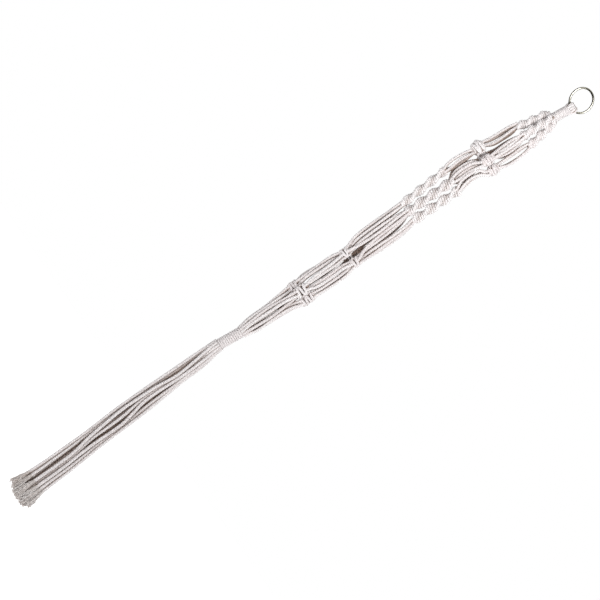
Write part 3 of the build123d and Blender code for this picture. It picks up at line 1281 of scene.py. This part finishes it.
    def build_loose_strands(self) -> None:
        """The loose strands of all five lengths, each bowing as it hangs."""
        upper, middle, long, net, gather = {}, {}, {}, {}, {}
        first_row, second_row = list(FIRST_ROW.values()), list(SECOND_ROW.values())
        for arm in Arm:
            heads = quad(UPPER_FOOT_AT[arm], arm.value, SENNIT_HALF)
            berry = quad(BERRY_AT[arm], arm.value, BERRY_HALF)
            spiral = quad(SPIRAL_HEAD_AT[arm], arm.value, SENNIT_HALF)
            upper[f"upper_strands_{arm.title}"] = [
                Held(heads[k], berry[k], UPPER_FOOT, BERRY_TOP, mid) for k, mid in zip(heads, UPPER_MIDS[arm])
            ]
            middle[f"middle_strands_{arm.title}"] = [
                Held(berry[k], spiral[k], BERRY_FOOT, SPIRAL_TOP, mid) for k, mid in zip(heads, MIDDLE_MIDS[arm])
            ]
            feet = quad(SPIRAL_FOOT_AT[arm], arm.value, SENNIT_HALF)
            long[f"long_strands_{arm.title}"] = self.parting(arm.value, feet, SPIRAL_FOOT, first_row, LONG_MIDS[arm])
        for side, (angle, place, _, foot, _, _) in FIRST_ROW.items():
            feet = quad(place, angle, ROW_HALF)
            net[f"net_strands_{side}"] = self.parting(angle, feet, foot, second_row, NET_MIDS[side])
        for arm, (angle, place, _, foot, _, _) in SECOND_ROW.items():
            gather[f"gather_strands_{arm.title}"] = self.gathered(arm, quad(place, angle, ROW_HALF), foot)
        self.strands(("neck", "berries"), UPPER_FOOT, BERRY_TOP, -6.0, upper)
        self.strands(("berries", "spirals"), BERRY_FOOT, SPIRAL_TOP, -12.0, middle)
        self.strands(("spirals", "first_row"), SPIRAL_FOOT, -431.0, -8.0, long)
        self.strands(("first_row", "second_row"), -444.0, -516.0, -5.0, net)
        self.strands(("second_row", "binding"), -538.0, BINDING_TOP, -6.0, gather)

    def strands(
        self, bodies: tuple[str, str], top: float, bottom: float, x: float, groups: dict[str, list[Held]]
    ) -> None:
        """Makes one length's loose strands, which hang between two bodies.

        Args:
            bodies: the bodies above and below; not used.
            top: the height where they start, in millimetres; not used.
            bottom: the height where they stop; not used.
            x: not used.
            groups: each node's strands.
        """
        lines = {node: [h.line(self.shop.draw) for h in held] for node, held in groups.items()}
        # The strands of one length cast painted shade on each other where they touch.
        crowd = [line for group in lines.values() for line in group]
        for node, group in lines.items():
            piece = self.shop.cord_piece(node, self.shop.cords(group, crowd=crowd))
            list(bodies)
            tuple(at((x, 0.0), top))
            tuple(at((x, 0.0), bottom))
            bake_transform(piece)

    @staticmethod
    def gathered(arm: Arm, heads: dict, top: float) -> list[Held]:
        """Four strands from one knot of the second row to their places in the binding.

        Args:
            arm: the arm that the knot is on.
            heads: the strands' places in the knot.
            top: the knot's foot, in millimetres.

        Returns:
            The strands.
        """
        turns = {(1, 1): 0, (1, -1): -30, (-1, 1): 30, (-1, -1): 0}
        held = []
        for (key, turn), mid in zip(turns.items(), GATHER_MIDS[arm]):
            radius = INNER_SLOTS if key == (-1, -1) else OUTER_SLOTS
            slot = turned_place(BINDING_HEAD_AT, arm.value + turn, radius, 0)
            held.append(Held(heads[key], slot, top, BINDING_TOP, mid))
        return held

    @staticmethod
    def parting(angle: float, heads: dict, top: float, row: list, mids: tuple) -> list[Held]:
        """Four strands that part from one knot, two to the next knot on each side an eighth of a turn round.

        Args:
            angle: where the knot stands round the bundle, in degrees.
            heads: the strands' places in it.
            top: its foot, in millimetres.
            row: the next row's knots.
            mids: the strands' places half way down.

        Returns:
            The strands.
        """
        held = []
        for (a, b), mid in zip(heads, mids):
            knot = next(k for k in row if (k[0] - angle - 45 * b) % 360 == 0)
            held.append(Held(heads[a, b], quad(knot[1], knot[0], ROW_HALF)[a, -b], top, knot[2], mid))
        return held

    def build_binding(self) -> None:
        """The lower wrapping, in twelve close turns."""
        head, foot = at(BINDING_HEAD_AT, BINDING_TOP - 0.6), at(BINDING_FOOT_AT, BINDING_FOOT + 0.6)
        wrap = Wrapping(head, foot, self.binding_radius * MM, self.binding_pitch * MM)
        grids = self.shop.wound([wrap.line()], self.binding_cord, head, foot, 6.4 * MM)
        grids += self.shop.wound([np.array([head, foot])], self.binding_core, head, foot, 6.4 * MM)
        self.shop.knot_piece("bottom_wrap", "binding", grids)


@dataclass
class Tassel:
    """The sixteen free ends below the binding, laid cord down to the unlaid yarns at their tips."""

    shop: Workshop
    brush: float = 44.0  # length of unlaid yarn at each end, in millimetres
    unlaid_from: float = 0.82  # share of the brush over which the laid cord has ended
    mean_diameter: float = 4.5  # a cord's, between its crests and its grooves
    bend: float = 24.0  # length under the binding, in millimetres
    yarn: Cord = Cord(diameter=1.25 * MM, lay=30.0 * MM, plies=1, around=5, step=1.3 * MM, ply_reach=0.0)
    yarns_in_brush: int = 42
    heights: tuple = (BINDING_FOOT, -683.9, -704.9, -743.9, -797.9, -854.9, -911.9, -965.9, -1010.9, -1049.9)
    middle: tuple = (-9.6, -9.6, -7.8, -7.3, -5.6, -4.2, -0.4, 1.6, 2.8, 3.0)
    spread: tuple = (0.0, 0.0, 0.98, 1.04, 1.36, 1.38, 1.38, 1.52, 1.58, 1.66)
    depth: tuple = (0.0, 0.0, 0.96, 1.0, 1.08, 1.12, 1.1, 1.14, 1.16, 1.2)
    lays = {
        "a": ((0.3, 0.2), (-0.2, 0.3), (0.9, -0.6), (-1.0, 0.5), (0.8, 0.9), (-0.7, -0.8), (1.0, 0.4), (-0.4, 0.8)),
        "b": ((-0.2, 0.3), (0.3, -0.2), (-1.1, 0.5), (0.7, 0.9), (1.0, -0.6), (-0.9, 0.7), (-0.8, -0.9), (0.9, 0.3)),
        "c": ((0.2, -0.3), (0.2, 0.3), (1.0, 0.8), (0.4, -0.9), (-1.1, -0.5), (0.6, 0.9), (-0.9, 0.6), (-1.2, -0.6)),
        "d": ((-0.3, -0.2), (-0.3, 0.2), (0.5, 0.9), (1.1, -0.4), (-0.4, -0.9), (-1.1, 0.3), (0.7, 0.8), (1.1, -0.7)),
    }
    strands = (
        (330, OUTER_SLOTS, (9.2, -6.8), "a"),
        (0, OUTER_SLOTS, (11.3, 0.0), "b"),
        (30, OUTER_SLOTS, (9.2, 6.8), "c"),
        (0, INNER_SLOTS, (6.7, 0.0), "c"),
        (60, OUTER_SLOTS, (4.6, 6.9), "d"),
        (90, OUTER_SLOTS, (0.0, 7.2), "b"),
        (120, OUTER_SLOTS, (-4.6, 6.9), "a"),
        (90, INNER_SLOTS, (2.3, 0.9), "a"),
        (150, OUTER_SLOTS, (-9.2, 6.8), "b"),
        (180, OUTER_SLOTS, (-11.3, 0.0), "d"),
        (210, OUTER_SLOTS, (-9.2, -6.8), "b"),
        (180, INNER_SLOTS, (-6.8, 0.0), "b"),
        (240, OUTER_SLOTS, (-4.6, -6.9), "c"),
        (270, OUTER_SLOTS, (0.0, -7.2), "d"),
        (300, OUTER_SLOTS, (4.6, -6.9), "b"),
        (270, INNER_SLOTS, (-2.3, -0.9), "d"),
    )

    # The strands in front lie side by side and cross: how far forward each lies at its head, middle and foot, and
    # its x at each height
    crossing_heights = (
        -704.9, -743.9, -763.4, -784.4, -812.9, -832.4, -854.9, -880.4, -911.9, -940.4, -965.9, -1010.9, -1049.9
    )
    crossing = {
        10: (
            (-3.5, -3.5, -3.5),
            (-18.0, -18.0, -18.2, -18.6, -18.6, -18.6, -18.5, -17.4, -15.5, -15.5, -15.0, -15.3, -18.4),
        ),
        11: (
            (-0.5, -1.0, -5.0),
            (-15.0, -14.1, -14.3, -15.2, -15.5, -15.5, -15.0, -13.5, -11.9, -10.4, -9.9, -8.9, -9.8),
        ),
        13: (
            (-7.5, -8.0, -7.0),
            (-11.4, -6.9, -8.4, -11.6, -12.3, -12.9, -12.3, -9.8, -6.8, -0.9, 0.2, 0.2, -0.3),
        ),
        14: (
            (-3.0, -6.5, -2.5),
            (-7.4, -5.7, -6.0, -7.8, -8.3, -5.9, -3.2, -2.9, -3.0, 2.3, 3.9, 4.1, 5.3),
        ),
        15: (
            (-8.0, -7.5, -6.5),
            (-3.3, -2.4, -3.0, -4.2, -3.9, 0.3, 5.4, 5.7, 5.0, 6.6, 8.6, 9.0, 9.8),
        ),
        1: (
            (-6.0, -2.5, -5.5),
            (0.9, 1.1, 2.4, 2.9, 3.9, 5.4, 8.9, 9.2, 9.6, 11.9, 13.4, 14.0, 16.5),
        ),
        2: (
            (-3.0, -5.5, -2.5),
            (3.3, 3.9, 5.4, 7.5, 9.6, 11.0, 11.7, 12.8, 14.4, 16.8, 18.5, 19.8, 23.3),
        ),
    }

    # How much shorter some brushes are cut, in millimetres
    cut = {10: 7.0, 9: 5.0, 11: 2.5, 12: 2.0, 14: 4.5, 4: 3.5, 2: 4.5, 3: 3.5}

    def route(self, number: int, angle: float, radius: float, place: Place, lay: str) -> Array:
        """One strand's route: as in the frame, or across its neighbours in front.

        Args:
            number: the strand's number.
            angle: where it leaves the binding, in degrees round it.
            radius: how far from the binding's middle it leaves.
            place: where it lies in the tassel before the tassel spreads.
            lay: which row of lays it strays by.

        Returns:
            The route, as rows of x, y, z.
        """
        start = turned_place(BINDING_FOOT_AT, angle, radius, 0)
        rows = [at(start, self.heights[0]), at(start, self.heights[1])]
        if number in self.crossing:
            forward, across = self.crossing[number]
            ahead = np.interp(np.linspace(0, 2, len(across)), (0, 1, 2), forward)
            for height, x, y in zip(self.crossing_heights, across, ahead):
                deep = np.interp(height, self.heights[::-1], self.depth[::-1])
                rows.append(at((x, y * deep), height))
            return np.array(rows)
        for i, (stray_x, stray_y) in enumerate(self.lays[lay], 2):
            x = self.middle[i] + self.spread[i] * place[0] + stray_x
            y = self.depth[i] * place[1] + stray_y
            rows.append(at((x, y), self.heights[i]))
        return np.array(rows)

    def build(self) -> None:
        lines = [nurbs_line(self.route(number, *row), 16) for number, row in enumerate(self.strands, 1)]
        flare = np.array([1.0] * 24 + [1.03, 1.08])
        for number, line in enumerate(lines, 1):
            node = f"tassel_strand_{number:02d}"
            along = lengths_along(line)
            length = float(along[-1]) - self.brush * MM * self.unlaid_from
            laid = line[along <= length]
            # The strands cast painted shade on each other where they touch.
            grids = self.shop.cords([laid], swell=flare, crowd=lines)
            piece = make_piece(f"{node}_cord", grids, self.shop.cotton)
            brush = make_piece(f"{node}_brush", self.yarns(line, along, self.cut.get(number, 0.0)), self.shop.unlaid)
            for made in (piece, brush):
                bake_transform(made)
            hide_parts(node)
            LOG.info("%s: %.0f mm laid, with %d yarns below", node, length / MM, self.yarns_in_brush)

    def yarns(self, line: Array, along: Array, cut: float) -> list[Grid]:
        """The unlaid yarns: each leaves the cord near its end and waves outwards, cut off level with the rest.

        Yarn k stands at its own angle, at a distance that grows as a smooth step, with a wave on top.

        Args:
            line: the strand's middle.
            along: the length of it up to each point.
            cut: how much shorter this brush is than the longest, in millimetres.

        Returns:
            The yarns' surfaces.
        """
        draw = self.shop.draw
        tail = line[along >= along[-1] - self.brush * MM]
        ahead = (tail[-1] - tail[-2]) / np.linalg.norm(tail[-1] - tail[-2])
        tail = evenly(np.concatenate([tail, tail[-1:] + ahead * 4 * MM]), self.yarn.step)
        first, second = carried_frames(tail)
        t = np.linspace(0, 1, len(tail))
        step = smooth_step(t)
        grids = []
        for _ in range(self.yarns_in_brush):
            angle = draw.random() * 2 * np.pi
            reach = (1.2 + (0.4 + 5.0 * draw.random() ** 0.7) * step) * MM
            wave = draw.normal(0, 0.75, 2)[:, None] * MM * np.sin(
                2 * np.pi * (t * draw.uniform(3.5, 8.0) + draw.random())
            ) * (0.3 + step)
            x = reach * np.cos(angle + 0.8 * t) + wave[0]
            y = reach * np.sin(angle + 0.8 * t) + wave[1]
            yarn = tail + x[:, None] * first + y[:, None] * second
            keep = max(6, int(len(yarn) * draw.uniform(0.86, 1.0) - cut * MM / self.yarn.step))
            # Each yarn gets its own amount of painted occlusion shade, so some read darker.
            grids.append(laid_cord(yarn[:keep], self.yarn, float(draw.random()), high=draw.uniform(0.3, 1.35)))
        return grids


@dataclass
class Studio:
    """The camera, the lights and the floor."""

    distance: float = 2.125
    lens: float = 85.0
    aim: tuple = (0.00465, -0.5348)  # the point it is centred on, as x and z
    lean: float = 34.8  # how far the camera is rolled, in degrees
    floor_at: float = -1.16
    # Each lamp's name, place, side in metres, power in watts, height faced, and fan in degrees
    lamps: tuple = (
        ("key", (0.6, -1.4, 0.20), 1.0, 6.5, -0.12, 90.0),
        ("fill", (-1.2, -1.4, 0.3), 1.4, 2.0, -0.3, 180.0),
        ("back", (0.8, 1.6, -0.3), 1.2, 12.0, -0.3, 180.0),
    )

    def build(self, floor: Finish) -> None:
        """Sets the camera level and rolled, so that the hanger lies across its view from corner to corner.

        Args:
            floor: the floor's finish.
        """
        data = bpy.data.cameras.new("camera")
        data.lens = self.lens
        data.sensor_width = 36.0
        camera = bpy.data.objects.new("camera", data)
        lean = math.radians(self.lean)
        right = Vector((math.sin(lean), 0.0, math.cos(lean)))
        up = Vector((-math.cos(lean), 0.0, math.sin(lean)))
        turn = Matrix((right, up, right.cross(up))).transposed().to_4x4()
        camera.matrix_world = Matrix.Translation((self.aim[0], -self.distance, self.aim[1])) @ turn
        bpy.context.scene.collection.objects.link(camera)
        bpy.context.scene.camera = camera
        for lamp in self.lamps:
            self.light(*lamp)
        self.surround()
        self.build_floor(floor)

    def build_floor(self, finish: Finish) -> None:
        """Makes the floor: a level grid, 5 m square.

        Args:
            finish: its material.
        """
        n = 24
        edge = np.linspace(-2.5, 2.5, n)
        x, y = np.meshgrid(edge, edge, indexing="ij")
        points = np.stack([x.ravel(), y.ravel(), np.full(n * n, self.floor_at)], axis=1)
        mesh = bpy.data.meshes.new("floor")
        mesh.from_pydata(points.tolist(), [], grid_quads(n, n, False, False)[:, OTHER_WAY].tolist())
        plane = linked("floor", mesh, finish)
        plane.visible_glossy = False

    def light(self, name: str, place: tuple, size: float, power: float, aim: float, spread: float) -> None:
        """A soft square lamp.

        Args:
            name: its name.
            place: where it stands.
            size: its side.
            power: its power, in watts.
            aim: the height on the hanger that it faces.
            spread: how widely its light fans out, in degrees.
        """
        data = bpy.data.lights.new(name, "AREA")
        data.size = size
        data.energy = power
        data.spread = math.radians(spread)
        lamp = bpy.data.objects.new(name, data)
        lamp.location = place
        lamp.rotation_euler = (Vector((0, 0, aim)) - Vector(place)).to_track_quat("-Z", "Y").to_euler()
        bpy.context.scene.collection.objects.link(lamp)

    def surround(self) -> None:
        """A plain white surround. It lights cloth softly, and polished metal sees it dark, with a lamp before it
        and a pale panel overhead.
        """
        world = bpy.data.worlds.new("surround")
        world.use_nodes = True
        sky = Nodes(world.node_tree)
        direction = sky.node("ShaderNodeTexCoord", {}, {}, "Generated")
        patches = []
        for axis, start, full, strength in (("Y", -0.90, -0.96, 0.9), ("Z", 0.52, 0.64, 0.5)):
            along = sky.node("ShaderNodeSeparateXYZ", {}, {0: direction}, axis)
            ease = {"Value": along, "From Min": start, "From Max": full, "To Min": 0.006, "To Max": strength}
            patches.append(sky.node("ShaderNodeMapRange", {}, ease))
        seen, soft, glossy = (
            sky.node("ShaderNodeBackground", {}, {"Color": colour, "Strength": strength})
            for colour, strength in (
                (WHITE, 1.0),
                ((0.96, 0.97, 1.0, 1.0), 0.31),
                ((1.0, 0.98, 0.90, 1.0), patches[0] + patches[1]),
            )
        )
        metal_sees, camera_sees = (
            sky.node("ShaderNodeLightPath", {}, {}, f"Is {ray} Ray") for ray in ("Glossy", "Camera")
        )
        for_metal = sky.node("ShaderNodeMixShader", {}, {0: metal_sees, 1: soft, 2: glossy})
        for_camera = sky.node("ShaderNodeMixShader", {}, {0: camera_sees, 1: for_metal, 2: seen})
        sky.fill(sky.tree.nodes["World Output"].inputs["Surface"], for_camera)
        bpy.context.scene.world = world
        bpy.context.scene.view_settings.view_transform = "Standard"


def main() -> None:
    """Builds the scene in order: studio, free cords, ring, net."""
    logging.basicConfig(level=logging.INFO, format="%(message)s")
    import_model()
    shop = Workshop(Cotton(), BrushedOutCotton(), Nickel(), np.random.default_rng(7))
    Studio().build(PaleFloor())
    Tassel(shop).build()
    Ring().build(shop)
    Net(shop).build()


if __name__ == "__main__":
    main()
